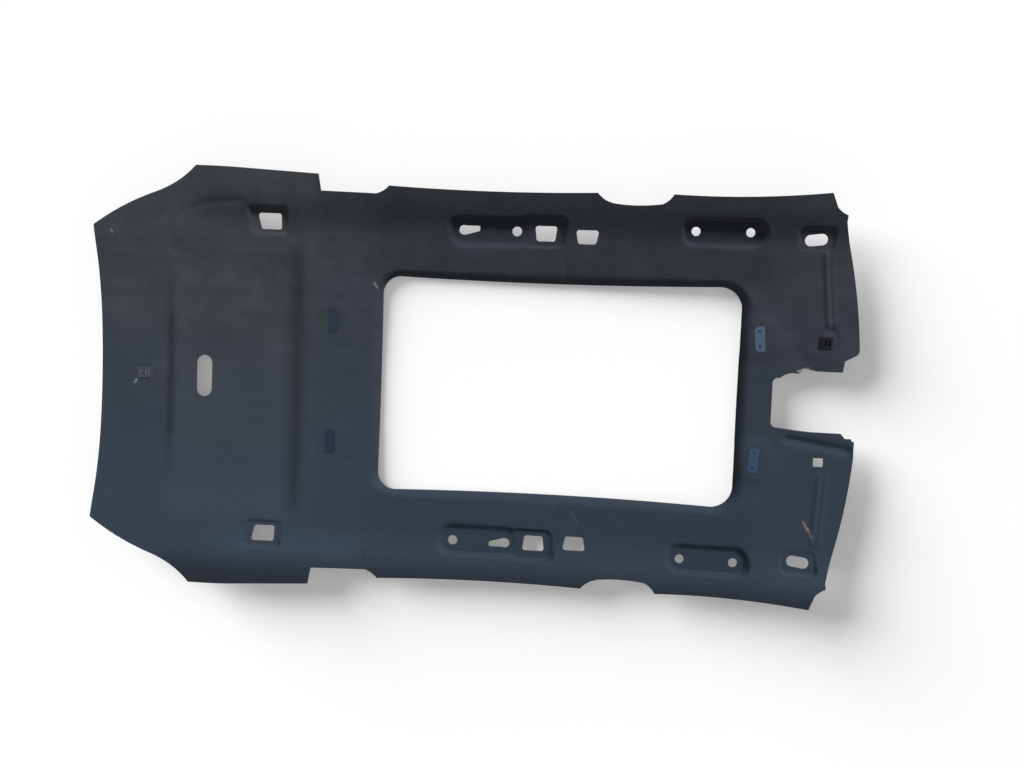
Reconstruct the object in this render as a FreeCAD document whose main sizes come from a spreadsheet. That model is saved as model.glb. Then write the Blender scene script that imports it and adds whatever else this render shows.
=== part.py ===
import FreeCAD, Part
import math
import os
import Sketcher
from FreeCAD import Placement, Rotation, Vector

# Moulded car headliner with a panoramic roof opening, lying on its back: the cabin side is up.
# +X is the car's front, +Y its right-hand side, +Z points into the cabin.

# Driving sizes in millimetres. Stations "from_front" and "from_rear" are measured back from the
# panel's own ends, those "from_middle" from the origin, those "from_centre" from the centre line.
SIZES = [
    # rear half of one side: corner, shoulder, ramp, wing and waist
    ("rear_end_from_middle", 975), ("rear_edge_hollow", 12), ("rear_corner_half_width", 380),
    ("rear_shoulder_run", 153), ("rear_shoulder_rise", 86), ("rear_shoulder_bulge", 6),
    ("wing_ramp_run", 116), ("wing_ramp_rise", 72), ("wing_ramp_hollow", 7),
    ("wing_front_from_middle", 390), ("wing_taper", 13), ("wing_drop", 41), ("wing_drop_run", 6),
    ("waist_taper", 2), ("side_tip_from_middle", 211), ("side_tip_ramp", 33),
    ("side_tip_rise", 20), ("side_tip_hollow", 3),
    # front half of one side: long edge, pillar relief, front side, tab and hook
    ("side_taper", 3), ("side_bow", 5), ("pillar_tip_from_middle", 314), ("pillar_tip_run", 27),
    ("pillar_tip_drop", 20), ("pillar_tip_hollow", 2), ("pillar_step_run", 13),
    ("pillar_step_drop", 4), ("pillar_relief_run", 120), ("pillar_relief_sag", 4),
    ("pillar_exit_run", 27), ("pillar_exit_hollow", 3), ("front_side_rise", 9),
    ("front_side_hollow", 7), ("front_tab_run", 14), ("front_tab_drop", 33),
    ("front_hook_run", 27), ("front_hook_drop", 18), ("front_hook_hollow", 2),
    ("front_hook_edge", 15), ("front_end_from_middle", 973), ("front_edge_lead", 59),
    ("front_edge_bulge", 9), ("nose_half_width", 131),
    # console notch in the front edge and the strips on both sides of it
    ("notch_depth", 200), ("notch_half_width", 62), ("notch_shift", 4),
    ("notch_corner_radius", 34), ("notch_mouth_radius", 12), ("strip_corner_radius", 8),
    ("tab_corner_radius", 6), ("step_corner_radius", 3), ("strip_tab_run", 32),
    ("right_nose_lead", 4), ("right_nose_drop", 9), ("right_tab_drop", 16),
    ("right_tab_lead", 4), ("right_notch_half_width", 78), ("right_step_from_front", 94),
    ("right_step_run", 33), ("right_step_rise", 6), ("right_dip_run", 13),
    ("right_dip_drop", 14), ("left_notch_half_width", 74), ("left_bend_from_front", 98),
    ("left_tab_step", 10), ("left_strip_end", 86), ("left_nose_lead", 2),
    # skin form
    ("panel_thickness", 5), ("long_radius_rear", 11000), ("long_radius_front", 8000),
    ("cross_radius", 4200), ("side_bend_start", 392), ("side_bend_width", 74),
    ("side_bend_height", 24), ("bend_fade_start", 790), ("bend_fade_run", 220),
    ("rear_field_sink", 7), ("rear_step_from_middle", 440), ("rear_step_run", 50),
    ("rear_step_half_width", 352), ("rear_step_side_run", 60), ("rear_lip_sink", 6),
    ("rear_lip_from_rear", 197), ("rear_lip_run", 34), ("rear_lip_half_width", 250),
    ("rear_lip_side_run", 220), ("rear_mound_height", 6), ("rear_mound_half_width", 120),
    ("rear_mound_run", 60), ("rear_mound_from_rear", 110), ("skin_end_margin", 40),
    ("skin_side_margin", 30),
    # roof opening and its rolled lip
    ("opening_length", 915), ("opening_width", 561), ("opening_from_front", 288.5),
    ("opening_side_bow", 6), ("opening_rear_radius", 46), ("opening_front_radius", 76),
    ("opening_roll_radius", 17), ("opening_lip_depth", 25),
    # rear and front grab-handle recesses
    ("recess_depth", 14), ("recess_floor_radius", 11), ("recess_inner_slope", 25),
    ("recess_outer_slope", 7), ("recess_end_slope", 16), ("recess_seat_inset", 10),
    ("rear_handle_middle", 46), ("rear_handle_from_centre", 404), ("rear_recess_length", 184),
    ("recess_floor_width", 55), ("handle_hole_spacing", 137), ("handle_hole_diameter", 25),
    ("keyway_length", 40), ("keyway_width", 12), ("keyway_offset", 5),
    ("front_handle_from_front", 342), ("front_handle_from_centre", 416),
    ("front_recess_length", 178), ("front_hole_spacing", 133), ("front_hole_diameter", 23),
    ("front_floor_width", 50),
    # lamp pocket beside the rear recess, lamp hole and socket hole
    ("lamp_pocket_middle", 183), ("lamp_pocket_length", 92), ("lamp_pocket_width", 66),
    ("lamp_pocket_depth", 11), ("lamp_pocket_slope", 14), ("lamp_hole_middle", 189),
    ("lamp_hole_length", 57), ("lamp_hole_width", 39), ("lamp_hole_from_centre", 400),
    ("lamp_hole_taper", 5), ("socket_hole_middle", 294), ("socket_hole_length", 59),
    ("socket_hole_width", 35), ("socket_hole_from_centre", 393), ("socket_hole_taper", 7),
    ("hole_corner_radius", 7),
    # visor bracket slots and their shallow seats
    ("visor_slot_from_front", 121), ("visor_slot_from_centre", 400), ("visor_slot_length", 55),
    ("visor_slot_width", 28), ("visor_slot_angle", 7), ("visor_seat_length", 76),
    ("visor_seat_width", 48), ("visor_seat_depth", 4), ("seat_corner_radius", 8),
    ("seat_slope", 6),
    # seat-belt outlet holes at the rear and their shallow seats
    ("belt_hole_from_middle", 524), ("belt_hole_from_centre", 407), ("belt_hole_length", 62),
    ("belt_hole_width", 41), ("belt_hole_taper", 9), ("belt_seat_length", 84),
    ("belt_seat_width", 58), ("belt_seat_depth", 5),
    # oval hole in the rear field
    ("oval_from_rear", 280), ("oval_length", 109), ("oval_width", 41),
    # two-hole fixing plates beside the opening
    ("plate_length", 63), ("plate_width", 25), ("plate_thickness", 2.5), ("plate_chamfer", 7),
    ("plate_hole_spacing", 38), ("plate_hole_diameter", 7), ("plate_seat_depth", 1.5),
    ("seat_clearance", 0.3), ("rear_plate_from_opening", 124.5), ("rear_plate_from_centre", 159),
    ("front_plate_from_opening", 49.5), ("front_plate_from_centre", 153),
    ("front_plate_angle", 5),
    # visor hook clip and its hole; the other side has the same hole, empty
    ("hook_from_front", 82), ("hook_from_centre", 149), ("hook_hole_length", 25),
    ("hook_hole_width", 22), ("hook_flange_length", 33), ("hook_flange_width", 29),
    ("hook_flange_thickness", 2.5), ("hook_seat_depth", 1), ("hook_rim_height", 3),
    ("hook_wall", 2.5), ("hook_floor", 2), ("hook_bar_width", 3), ("hook_bar_height", 4),
    ("hook_bar_offset", 3), ("plug_proud", 1),
    # small clip near the rear edge
    ("rear_clip_from_rear", 125), ("rear_clip_length", 40), ("rear_clip_width", 31),
    ("rear_clip_flange", 2), ("rear_clip_seat_depth", 1.5), ("rear_clip_body_length", 32),
    ("rear_clip_body_width", 20), ("rear_clip_body_height", 4), ("rear_clip_bore", 7),
    ("rear_clip_hole_length", 26), ("rear_clip_hole_width", 14),
    # how far the raw blank hangs below the crown, a pan's cutter rises above its seat, and
    # every other cutter runs past the panel
    ("blank_depth", 90), ("pan_rise", 40), ("cut_reach", 400),
]

doc = FreeCAD.newDocument("Headliner")
sheet = doc.addObject("Spreadsheet::Sheet", "Sizes")
for row, (alias, value) in enumerate(SIZES, start=1):
    sheet.set("A%d" % row, alias)
    sheet.set("B%d" % row, str(value))
    sheet.setAlias("B%d" % row, alias)
doc.recompute()
value = {alias: float(sheet.get(alias)) for alias, _ in SIZES}

# stations along X that several features share
rear_end = -value["rear_end_from_middle"]
front_end = value["front_end_from_middle"]
rear_lip_x = rear_end + value["rear_lip_from_rear"]
rear_mound_x = rear_end + value["rear_mound_from_rear"]
rear_clip_x = rear_end + value["rear_clip_from_rear"]
oval_x = rear_end + value["oval_from_rear"]
opening_front = front_end - value["opening_from_front"]
opening_rear = opening_front - value["opening_length"]
opening_middle = (opening_front + opening_rear) / 2
visor_slot_x = front_end - value["visor_slot_from_front"]
front_handle_x = front_end - value["front_handle_from_front"]
hook_x = front_end - value["hook_from_front"]
reach = value["cut_reach"]


def smooth(t):
    """0 below 0, 1 above 1, an even S between."""
    t = min(1.0, max(0.0, t))
    return t * t * t * (t * (6 * t - 15) + 10)


def passed(distance, run):
    """Even S from 0 to 1 over the run, half-way up at distance 0."""
    return smooth(distance / run + 0.5)


def form(x, y):
    """Height of the cabin face above the lowest point of the plain crown."""
    side = abs(y)
    radius = value["long_radius_rear"] if x < 0 else value["long_radius_front"]
    crown = x * x / (2 * radius) + y * y / (2 * value["cross_radius"])
    rear_fade = smooth((x + value["bend_fade_start"]) / value["bend_fade_run"])
    bend = value["side_bend_height"] * rear_fade
    bend *= smooth((side - value["side_bend_start"]) / value["side_bend_width"])
    step = 1 - passed(x + value["rear_step_from_middle"], value["rear_step_run"])
    step *= 1 - passed(side - value["rear_step_half_width"], value["rear_step_side_run"])
    lip = 1 - passed(x - rear_lip_x, value["rear_lip_run"])
    lip *= 1 - passed(side - value["rear_lip_half_width"], value["rear_lip_side_run"])
    mound = value["rear_mound_height"] * math.exp(-(y / value["rear_mound_half_width"]) ** 2)
    mound *= math.exp(-((x - rear_mound_x) / value["rear_mound_run"]) ** 2)
    sink = value["rear_field_sink"] * step + value["rear_lip_sink"] * lip
    return crown + bend - sink + mound


def greville(knots):
    """Where the poles of a clamped cubic through these knots stand."""
    full = [knots[0]] * 3 + knots + [knots[-1]] * 3
    return [sum(full[i + 1:i + 4]) / 3 for i in range(len(knots) + 2)]


def around(middle, run):
    """Knots across a change of level of the given run."""
    return [middle - 0.5 * run, middle, middle + 0.5 * run]


def in_order(knots, least):
    """The knots from low to high, without those that crowd the one before."""
    kept = []
    for knot in sorted(knots):
        if not kept or knot - kept[-1] > least:
            kept.append(knot)
    return kept


half_length = max(-rear_end, front_end) + value["skin_end_margin"]
half_width = value["rear_corner_half_width"] + value["rear_shoulder_rise"]
half_width += value["wing_ramp_rise"] + value["skin_side_margin"]
bend_middle = value["side_bend_start"] + value["side_bend_width"] / 2
x_knots = [-half_length, rear_mound_x, -0.25 * half_length, 0.1 * half_length]
x_knots += [0.54 * half_length, half_length]
x_knots += around(rear_lip_x, value["rear_lip_run"])
x_knots += [(rear_lip_x - value["rear_step_from_middle"]) / 2]
x_knots += around(-value["rear_step_from_middle"], value["rear_step_run"])
x_knots = in_order(x_knots, value["rear_step_run"] / 4)
upper = [value["side_bend_start"] * 0.4, value["side_bend_start"] * 0.8]
upper += [bend_middle + share * value["side_bend_width"] for share in (-0.65, -0.3, 0, 0.3, 0.65)]
upper += [half_width]
y_knots = [-y for y in reversed(upper)] + upper
x_poles = greville(x_knots)
y_poles = greville(y_knots)


def form_slope(x, y, dx, dy):
    return (form(x + dx, y + dy) - form(x - dx, y - dy)) / (2 * math.hypot(dx, dy))


def skin_surface(drop):
    """Cabin face lowered by drop, measured square to the face."""
    poles = []
    for x in x_poles:
        line = []
        for y in y_poles:
            steep = math.sqrt(1 + form_slope(x, y, 1, 0) ** 2 + form_slope(x, y, 0, 1) ** 2)
            line.append(Vector(x, y, form(x, y) - drop * steep))
        poles.append(line)
    surface = Part.BSplineSurface()
    x_mults = [4] + [1] * (len(x_knots) - 2) + [4]
    y_mults = [4] + [1] * (len(y_knots) - 2) + [4]
    surface.buildFromPolesMultsKnots(poles, x_mults, y_mults, x_knots, y_knots, False, False, 3, 3)
    return surface


face_surface = skin_surface(0.0)


def skin(x, y):
    return face_surface.value(x, y).z


def skin_normal(x, y):
    return Vector(face_surface.normal(x, y))


def seat(x, y, turn=0.0, lift=0.0):
    """Placement on the skin at (x, y), square to it, turned about its normal."""
    normal = skin_normal(x, y)
    if normal.z < 0:
        normal = normal * -1
    tilt = Rotation(Vector(0, 0, 1), normal)
    base = Vector(x, y, skin(x, y)) + normal * lift
    return Placement(base, tilt * Rotation(Vector(0, 0, 1), turn))


def sheet_below(drop):
    """Everything under the cabin face lowered by drop."""
    return skin_surface(drop).toShape().extrude(Vector(0, 0, -reach))


def feature(name, shape):
    item = doc.addObject("Part::Feature", name)
    item.Shape = shape
    return item


def arc_through(a, b, bulge):
    """Arc from a to b that stands out to the left of a-b by bulge."""
    if abs(bulge) < 1e-6:
        return Part.LineSegment(a, b).toShape()
    along = b - a
    side = Vector(-along.y, along.x, 0).normalize()
    return Part.Arc(a, (a + b) * 0.5 + side * bulge, b).toShape()


def corner(before, here, after, radius):
    """Start, middle and end of the arc that rounds a corner, as large as its edges have room for."""
    to_before = before - here
    to_after = after - here
    half = to_before.getAngle(to_after) / 2
    shorter = min(to_before.Length, to_after.Length)
    radius = min(radius, 0.49 * shorter * math.tan(half))
    to_before.normalize()
    to_after.normalize()
    run = radius / math.tan(half)
    middle = here + (to_before + to_after).normalize() * (radius / math.sin(half) - radius)
    return here + to_before * run, middle, here + to_after * run


def rounded(points, radii):
    """Closed wire through the points with each corner rounded by its radius."""
    count = len(points)
    ends = [corner(points[i - 1], points[i], points[(i + 1) % count], radii[i]) for i in range(count)]
    edges = []
    for i in range(count):
        edges.append(Part.Arc(*ends[i]).toShape())
        edges.append(Part.LineSegment(ends[i][2], ends[(i + 1) % count][0]).toShape())
    return Part.Wire(edges)


def side_points(side):
    """One side of the outline, from the rear corner to the front edge's inner end."""
    v = value
    walk = [(rear_end, v["rear_corner_half_width"], 0)]

    def step(run, rise, bulge=0.0):
        last = walk[-1]
        walk.append((last[0] + run, last[1] + rise, bulge))

    def step_to(station, rise, bulge=0.0):
        walk.append((station, walk[-1][1] + rise, bulge))

    step(v["rear_shoulder_run"], v["rear_shoulder_rise"], v["rear_shoulder_bulge"])
    step(v["wing_ramp_run"], v["wing_ramp_rise"], -v["wing_ramp_hollow"])
    step_to(-v["wing_front_from_middle"], -v["wing_taper"])
    step(v["wing_drop_run"], -v["wing_drop"])
    step_to(-v["side_tip_from_middle"] - v["side_tip_ramp"], -v["waist_taper"])
    step(v["side_tip_ramp"], v["side_tip_rise"], -v["side_tip_hollow"])
    step_to(v["pillar_tip_from_middle"], -v["side_taper"], -v["side_bow"])
    step(v["pillar_tip_run"], -v["pillar_tip_drop"], -v["pillar_tip_hollow"])
    step(v["pillar_step_run"], -v["pillar_step_drop"])
    step(v["pillar_relief_run"], 0, -v["pillar_relief_sag"])
    relief_depth = v["pillar_tip_drop"] + v["pillar_step_drop"]
    step(v["pillar_exit_run"], relief_depth, -v["pillar_exit_hollow"])
    hook_front = front_end - v["front_edge_lead"]
    tab_rear = hook_front - v["front_hook_run"] - v["front_tab_run"]
    step_to(tab_rear, v["front_side_rise"], -v["front_side_hollow"])
    step(v["front_tab_run"], -v["front_tab_drop"])
    step(v["front_hook_run"], -v["front_hook_drop"], -v["front_hook_hollow"])
    step(0, -v["front_hook_edge"])
    walk.append((front_end, v["nose_half_width"], v["front_edge_bulge"]))
    return [(Vector(px, side * py, 0), side * bulge) for px, py, bulge in walk]


def notch_points(right_nose, left_nose):
    """Corners of the console notch with their radii, from the right nose to the left nose."""
    v = value
    floor = front_end - v["notch_depth"]
    tab = front_end - v["strip_tab_run"]
    strip = v["nose_half_width"] - v["right_nose_drop"]
    right = v["right_notch_half_width"]
    left = -v["left_notch_half_width"]
    right_step = front_end - v["right_step_from_front"]
    rise_end = right_step - v["right_step_run"]
    dip_end = rise_end - v["right_dip_run"]
    high = right + v["right_step_rise"]
    right_floor = v["notch_half_width"] - v["notch_shift"]
    left_floor = -v["notch_half_width"] - v["notch_shift"]
    return [
        (right_nose, 0),
        (Vector(front_end - v["right_nose_lead"], strip, 0), v["strip_corner_radius"]),
        (Vector(tab, strip - v["right_tab_drop"], 0), v["tab_corner_radius"]),
        (Vector(tab - v["right_tab_lead"], right, 0), v["tab_corner_radius"]),
        (Vector(right_step, right, 0), v["step_corner_radius"]),
        (Vector(rise_end, high, 0), v["step_corner_radius"]),
        (Vector(dip_end, high - v["right_dip_drop"], 0), v["step_corner_radius"]),
        (Vector(floor, right_floor, 0), v["notch_corner_radius"]),
        (Vector(floor, left_floor, 0), v["notch_corner_radius"]),
        (Vector(front_end - v["left_bend_from_front"], left, 0), v["notch_mouth_radius"]),
        (Vector(tab, left, 0), v["tab_corner_radius"]),
        (Vector(tab + v["left_tab_step"], -v["left_strip_end"], 0), v["step_corner_radius"]),
        (Vector(front_end - v["left_nose_lead"], -v["left_strip_end"], 0), v["strip_corner_radius"]),
        (left_nose, 0),
    ]


def panel_outline():
    """Trim line of the whole panel, seen from the cabin side."""
    right = side_points(1)
    left = side_points(-1)
    edges = []
    for (a, _), (b, bulge) in zip(right, right[1:]):
        edges.append(arc_through(a, b, bulge))
    notch = notch_points(right[-1][0], left[-1][0])
    last = notch[0][0]
    for (before, _), (here, radius), (after, _) in zip(notch, notch[1:], notch[2:]):
        start, middle, stop = corner(before, here, after, radius)
        edges.append(Part.LineSegment(last, start).toShape())
        edges.append(Part.Arc(start, middle, stop).toShape())
        last = stop
    edges.append(Part.LineSegment(last, notch[-1][0]).toShape())
    for (a, bulge), (b, _) in zip(reversed(left), list(reversed(left))[1:]):
        edges.append(arc_through(a, b, -bulge))
    edges.append(arc_through(left[0][0], right[0][0], -value["rear_edge_hollow"]))
    return Part.Wire(edges)


def opening_wire(grow):
    """Roof opening, grown outward by grow; its long sides bow a little inward."""
    v = value
    half_long = v["opening_length"] / 2 + grow
    half_wide = v["opening_width"] / 2 + grow
    rear_radius = v["opening_rear_radius"] + grow
    front_radius = v["opening_front_radius"] + grow
    chord = 2 * half_long - rear_radius - front_radius
    lean = math.atan(4 * v["opening_side_bow"] / chord)
    corners = [(1, 1, front_radius, 0, math.pi / 2 + lean),
               (-1, 1, rear_radius, math.pi / 2 - lean, math.pi),
               (-1, -1, rear_radius, math.pi, 3 * math.pi / 2 + lean),
               (1, -1, front_radius, 3 * math.pi / 2 - lean, 2 * math.pi)]
    edges = []
    ends = []
    for end, side, radius, start, stop in corners:
        centre = Vector(opening_middle + end * (half_long - radius), side * (half_wide - radius), 0)
        arc = [centre + Vector(math.cos(turn), math.sin(turn), 0) * radius
               for turn in (start, (start + stop) / 2, stop)]
        edges.append(Part.Arc(*arc).toShape())
        ends.append((arc[0], arc[2]))
    right_middle = Vector((ends[0][1].x + ends[1][0].x) / 2, half_wide - v["opening_side_bow"], 0)
    left_middle = Vector(right_middle.x, -right_middle.y, 0)
    edges.insert(1, Part.Arc(ends[0][1], right_middle, ends[1][0]).toShape())
    edges.insert(3, Part.LineSegment(ends[1][1], ends[2][0]).toShape())
    edges.insert(5, Part.Arc(ends[2][1], left_middle, ends[3][0]).toShape())
    edges.append(Part.LineSegment(ends[3][1], ends[0][0]).toShape())
    return Part.Wire(edges)


def prism(wire, low=-reach, high=reach):
    face = Part.Face(wire)
    face.translate(Vector(0, 0, low))
    return face.extrude(Vector(0, 0, high - low))


def box_points(length, width, y_mid=0.0):
    half, side = length / 2, width / 2
    return [Vector(half, y_mid + side, 0), Vector(-half, y_mid + side, 0),
            Vector(-half, y_mid - side, 0), Vector(half, y_mid - side, 0)]


def octagon(length, width, y_mid, radius):
    """Box whose bevelled corners touch the arcs that the radius would give it."""
    half, side = length / 2, width / 2
    bevel = radius * (2 - math.sqrt(2))
    plan = [(half, side - bevel), (half - bevel, side), (bevel - half, side), (-half, side - bevel),
            (-half, bevel - side), (bevel - half, -side), (half - bevel, -side), (half, bevel - side)]
    points = [Vector(px, y_mid + py, 0) for px, py in plan]
    return Part.makePolygon(points + [points[0]])


def pan(length, width, depth, radius, end_slope, inner_slope, outer_slope, side, wall=0.0):
    """Tapered pan: its floor lies depth below the seat; inner_slope faces the centre line."""
    above = value["pan_rise"]

    def ring(level, spread):
        ends = end_slope * spread + wall
        inner = inner_slope * spread + wall
        outer = outer_slope * spread + wall
        mid = side * (outer - inner) / 2
        turn = radius + wall + spread * min(end_slope, inner_slope, outer_slope)
        if wall:
            wire = octagon(length + 2 * ends, width + inner + outer, mid, turn)
        else:
            wire = rounded(box_points(length + 2 * ends, width + inner + outer, mid), [turn] * 4)
        wire.translate(Vector(0, 0, level))
        return wire

    return Part.makeLoft([ring(-depth - wall, 0.0), ring(above, 1 + above / depth)], True, True)


def trapezoid_hole(length, width, taper, side, radius, rear_only=False):
    """Prism of a rounded trapezoid; its long side faces outboard."""
    half, out = length / 2, width / 2 * side
    front_taper = 0 if rear_only else taper
    points = [Vector(half, out, 0), Vector(-half, out, 0),
              Vector(-half + taper, -out, 0), Vector(half - front_taper, -out, 0)]
    return prism(rounded(points, [radius] * 4))


def box_wire(length, width):
    points = box_points(length, width)
    return Part.makePolygon(points + [points[0]])


def slot_prism(length, width):
    """Prism of a slot with round ends, cut right through the panel."""
    radius = min(length, width) / 2
    run = Vector(max(0, length / 2 - radius), max(0, width / 2 - radius), 0)
    across = Vector(-run.y, run.x, 0).normalize() * radius
    tip = run + (Vector(run).normalize() * radius)
    wire = Part.Wire([Part.Arc(run - across, tip, run + across).toShape(),
                      Part.LineSegment(run + across, across - run).toShape(),
                      Part.Arc(across - run, tip * -1, (run + across) * -1).toShape(),
                      Part.LineSegment((run + across) * -1, run - across).toShape()])
    return prism(wire)


def placed(shape, placement):
    copy = shape.copy()
    copy.Placement = placement
    return copy


def upright(x, y, turn=0.0):
    return Placement(Vector(x, y, skin(x, y)), Rotation(Vector(0, 0, 1), turn))


def beside_bend(x, y):
    """Seat on the plain crown, carried on under the side bend."""
    flat_edge = value["side_bend_start"] - value["recess_seat_inset"]
    inner = math.copysign(min(abs(y), flat_edge), y)
    spot = seat(x, inner)
    normal = spot.Rotation.multVec(Vector(0, 0, 1))
    lift = -(normal.y / normal.z) * (y - inner)
    spot.Base = Vector(x, y, skin(x, inner) + lift)
    return spot


def rim_edges(shape, wire, drop):
    """Edges of the shape that run along the wire, drop below the cabin face."""
    found = []
    for edge in shape.Edges:
        span = edge.LastParameter - edge.FirstParameter
        points = [edge.valueAt(edge.FirstParameter + share * span) for share in (0.1, 0.5, 0.9)]
        on_wire = all(wire.distToShape(Part.Vertex(p.x, p.y, 0))[0] < 0.05 for p in points)
        on_face = all(abs(p.z - skin(p.x, p.y) + drop) < 3 for p in points)
        if on_wire and on_face:
            found.append(edge)
    return found


# places of the small fittings on the cabin face
v = value
gap = v["seat_clearance"]
PLATES = {}
for side, hand in ((1, "right"), (-1, "left")):
    spot = seat(opening_rear - v["rear_plate_from_opening"], side * v["rear_plate_from_centre"], 0.0,
                -v["plate_seat_depth"])
    PLATES["fixing_plate_rear_" + hand] = spot
    spot = seat(opening_front + v["front_plate_from_opening"], side * v["front_plate_from_centre"],
                180 + side * v["front_plate_angle"], -v["plate_seat_depth"])
    PLATES["fixing_plate_front_" + hand] = spot
hook_spot = seat(hook_x, v["hook_from_centre"], 0.0, -v["hook_seat_depth"])
clip_spot = seat(rear_clip_x, 0.0, 0.0, -v["rear_clip_seat_depth"])


def plate_points(grow):
    """Plan of a fixing plate: chamfered on the side that faces the opening."""
    half, side = v["plate_width"] / 2 + grow, v["plate_length"] / 2 + grow
    cut = v["plate_chamfer"]
    return [Vector(-half, -side, 0), Vector(half - cut, -side, 0), Vector(half, -side + cut, 0),
            Vector(half, side - cut, 0), Vector(half - cut, side, 0), Vector(-half, side, 0)]


def seat_pocket(points, spot):
    """Flat pocket from the seat's level up through the cabin face."""
    return placed(prism(Part.makePolygon(points + [points[0]]), 0), spot)


# recesses and holes of the panel
pans = []
pan_walls = []
holes = []


def add_pan(x, y, **form_sizes):
    side = 1 if y > 0 else -1
    spot = beside_bend(x, y)
    pans.append(placed(pan(side=side, **form_sizes), spot))
    pan_walls.append(placed(pan(side=side, wall=v["panel_thickness"], **form_sizes), spot))
    return spot


def along(spot, x, y=0.0):
    """The same seat moved in its own plane."""
    return spot * Placement(Vector(x, y, 0), Rotation())


for side in (1, -1):
    slopes = dict(radius=v["recess_floor_radius"], end_slope=v["recess_end_slope"],
                  outer_slope=v["recess_outer_slope"])
    handle_y = side * v["rear_handle_from_centre"]
    rear_spot = add_pan(v["rear_handle_middle"], handle_y, length=v["rear_recess_length"],
                        width=v["recess_floor_width"], depth=v["recess_depth"],
                        inner_slope=v["recess_inner_slope"], **slopes)
    add_pan(v["lamp_pocket_middle"], handle_y, length=v["lamp_pocket_length"],
            width=v["lamp_pocket_width"], depth=v["lamp_pocket_depth"],
            inner_slope=v["lamp_pocket_slope"], **slopes)
    front_spot = add_pan(front_handle_x, side * v["front_handle_from_centre"],
                         length=v["front_recess_length"], width=v["front_floor_width"],
                         depth=v["recess_depth"], inner_slope=v["recess_inner_slope"], **slopes)
    slopes = dict(radius=v["seat_corner_radius"], end_slope=v["seat_slope"],
                  inner_slope=v["seat_slope"], outer_slope=v["seat_slope"])
    add_pan(visor_slot_x, side * v["visor_slot_from_centre"],
            length=v["visor_seat_length"], width=v["visor_seat_width"],
            depth=v["visor_seat_depth"], **slopes)
    add_pan(-v["belt_hole_from_middle"], side * v["belt_hole_from_centre"],
            length=v["belt_seat_length"], width=v["belt_seat_width"],
            depth=v["belt_seat_depth"], **slopes)

    # grab-handle bolt holes; one of each rear pair runs out into a keyway
    drill = Part.makeCylinder(v["handle_hole_diameter"] / 2, 2 * reach, Vector(0, 0, -reach))
    keyway = prism(box_wire(v["keyway_length"], v["keyway_width"]))
    for end in (-1, 1):
        x = end * v["handle_hole_spacing"] / 2
        holes.append(placed(drill, along(rear_spot, x)))
        if end == -side:
            x += side * v["keyway_length"] / 2
            holes.append(placed(keyway, along(rear_spot, x, v["keyway_offset"])))
    drill = Part.makeCylinder(v["front_hole_diameter"] / 2, 2 * reach, Vector(0, 0, -reach))
    for end in (-1, 1):
        holes.append(placed(drill, along(front_spot, end * v["front_hole_spacing"] / 2)))

    turn = v["hole_corner_radius"]
    shape = trapezoid_hole(v["lamp_hole_length"], v["lamp_hole_width"],
                           v["lamp_hole_taper"], side, turn)
    holes.append(placed(shape, upright(v["lamp_hole_middle"], side * v["lamp_hole_from_centre"])))
    shape = trapezoid_hole(v["socket_hole_length"], v["socket_hole_width"],
                           v["socket_hole_taper"], side, turn)
    holes.append(placed(shape, upright(v["socket_hole_middle"],
                                       side * v["socket_hole_from_centre"])))
    shape = trapezoid_hole(v["belt_hole_length"], v["belt_hole_width"],
                           v["belt_hole_taper"], side, turn, True)
    holes.append(placed(shape, upright(-v["belt_hole_from_middle"],
                                       side * v["belt_hole_from_centre"])))
    shape = slot_prism(v["visor_slot_length"], v["visor_slot_width"])
    holes.append(placed(shape, upright(visor_slot_x, side * v["visor_slot_from_centre"],
                                       side * v["visor_slot_angle"])))
    shape = prism(box_wire(v["hook_hole_length"], v["hook_hole_width"]))
    holes.append(placed(shape, seat(hook_x, side * v["hook_from_centre"])))
holes.append(placed(slot_prism(v["oval_width"], v["oval_length"]), upright(oval_x, 0)))
shape = prism(box_wire(v["rear_clip_hole_length"], v["rear_clip_hole_width"]))
holes.append(placed(shape, clip_spot))
for spot in PLATES.values():
    holes.append(seat_pocket(plate_points(gap), spot))
holes.append(seat_pocket(box_points(v["hook_flange_length"] + 2 * gap,
                                    v["hook_flange_width"] + 2 * gap), hook_spot))
holes.append(seat_pocket(box_points(v["rear_clip_length"] + 2 * gap,
                                    v["rear_clip_width"] + 2 * gap), clip_spot))

# the moulded board: rolled lip round the opening, then recesses, holes and the even wall behind
wall = v["panel_thickness"]
roll = v["opening_roll_radius"]
inner_wire = opening_wire(0.0)
outer_wire = opening_wire(wall)
blank = prism(panel_outline(), -v["blank_depth"]).common(sheet_below(0.0))
blank = blank.cut(prism(inner_wire))
blank = blank.makeFillet(roll, rim_edges(blank, inner_wire, 0))
blank = blank.cut(sheet_below(v["opening_lip_depth"]).common(prism(opening_wire(2 * wall))))
blank = blank.cut(pans + holes)
hollow = sheet_below(wall).cut(prism(outer_wire))
# behind the roll a flat bevel touches the even wall, and is never seen
hollow = hollow.makeChamfer((roll - wall) * (2 - math.sqrt(2)), rim_edges(hollow, outer_wire, wall))
hollow = hollow.cut(pan_walls)
panel = blank.cut(hollow).Solids[0]

# the piece rests on the lowest part of the opening's lip, its middle over the origin
extent = panel.optimalBoundingBox()
rest = Placement(Vector(-extent.Center.x, -extent.Center.y, -extent.ZMin), Rotation())
feature("headliner_panel", panel).Placement = rest


def bind(item, **cells):
    """Tie an object's properties to cells or sums of cells."""
    for name, cell in cells.items():
        item.setExpression(name, cell)


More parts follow.
